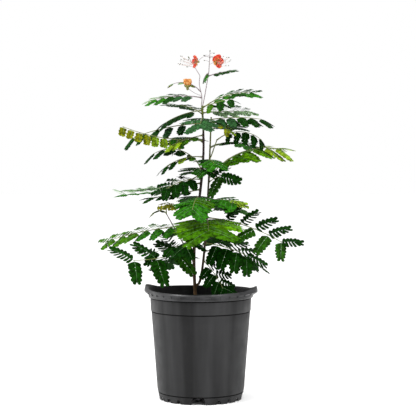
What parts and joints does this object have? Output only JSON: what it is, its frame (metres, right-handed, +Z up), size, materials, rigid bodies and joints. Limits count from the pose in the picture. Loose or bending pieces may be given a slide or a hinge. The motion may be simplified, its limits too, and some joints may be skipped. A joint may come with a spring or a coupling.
{
  "type": "potted flowering shrub",
  "caption": "Young flowering shrub with feathery twice-divided leaves on slender stems, topped by red and orange flowers, standing in a black plastic nursery pot.",
  "frame": {"origin": "centre of the pot's foot, on the ground", "axes": "+Z up along the pot's axis, +X to the right and +Y away from a viewer who faces the side with the most leaf"},
  "size_m": [0.5058, 0.3976, 0.871],
  "materials": {
    "pot": "satin black moulded plastic",
    "soil": "moist bark potting mix",
    "bark": "thin brown bark",
    "stalk": "green young wood",
    "leaf": "soft green leaf",
    "flower": "thin red and orange petal"
  },
  "bodies": {
    "root": {"flower_stalk_left": "stalk", "flower_stalk_right": "stalk", "flower_young": "flower", "frond_arch_left": "leaf", "frond_arch_right": "leaf", "frond_big_right": "leaf", "frond_centre_back": "leaf", "frond_centre_front": "leaf", "frond_cluster_left": "leaf", "frond_front_left": "leaf", "frond_front_low": "leaf", "frond_golden_left": "leaf", "frond_hanging_right": "leaf", "frond_high_back_right": "leaf", "frond_high_left": "leaf", "frond_high_right": "leaf", "frond_inner_left": "leaf", "frond_long_low_left": "leaf", "frond_low_back": "leaf", "frond_low_back_left": "leaf", "frond_low_front_left": "leaf", "frond_low_left": "leaf", "frond_low_mid_left": "leaf", "frond_low_right": "leaf", "frond_lower_left": "leaf", "frond_lowest_back": "leaf", "frond_lowest_right": "leaf", "frond_lowest_side": "leaf", "frond_mid_back_left": "leaf", "frond_mid_back_right": "leaf", "frond_mid_front": "leaf", "frond_mid_left": "leaf", "frond_mid_tuft": "leaf", "frond_middle_back": "leaf", "frond_node_right": "leaf", "frond_pale_left": "leaf", "frond_right_back": "leaf", "frond_right_upper": "leaf", "frond_shoot_side": "leaf", "frond_shoot_tip": "leaf", "frond_spread_right": "leaf", "frond_sweep_left": "leaf", "frond_tip_left": "leaf", "frond_tip_right": "leaf", "frond_tip_tuft": "leaf", "frond_top_left": "leaf", "frond_top_right": "leaf", "frond_upper_back": "leaf", "frond_upper_left": "leaf", "frond_upper_right": "leaf", "frond_young_right": "leaf", "pot": "pot", "raceme_left": "flower", "raceme_right": "flower", "side_shoot": "stalk", "side_twig": "stalk", "soil": "soil", "stem_main": "bark", "stem_second": "bark"}
  },
  "joints": []
}
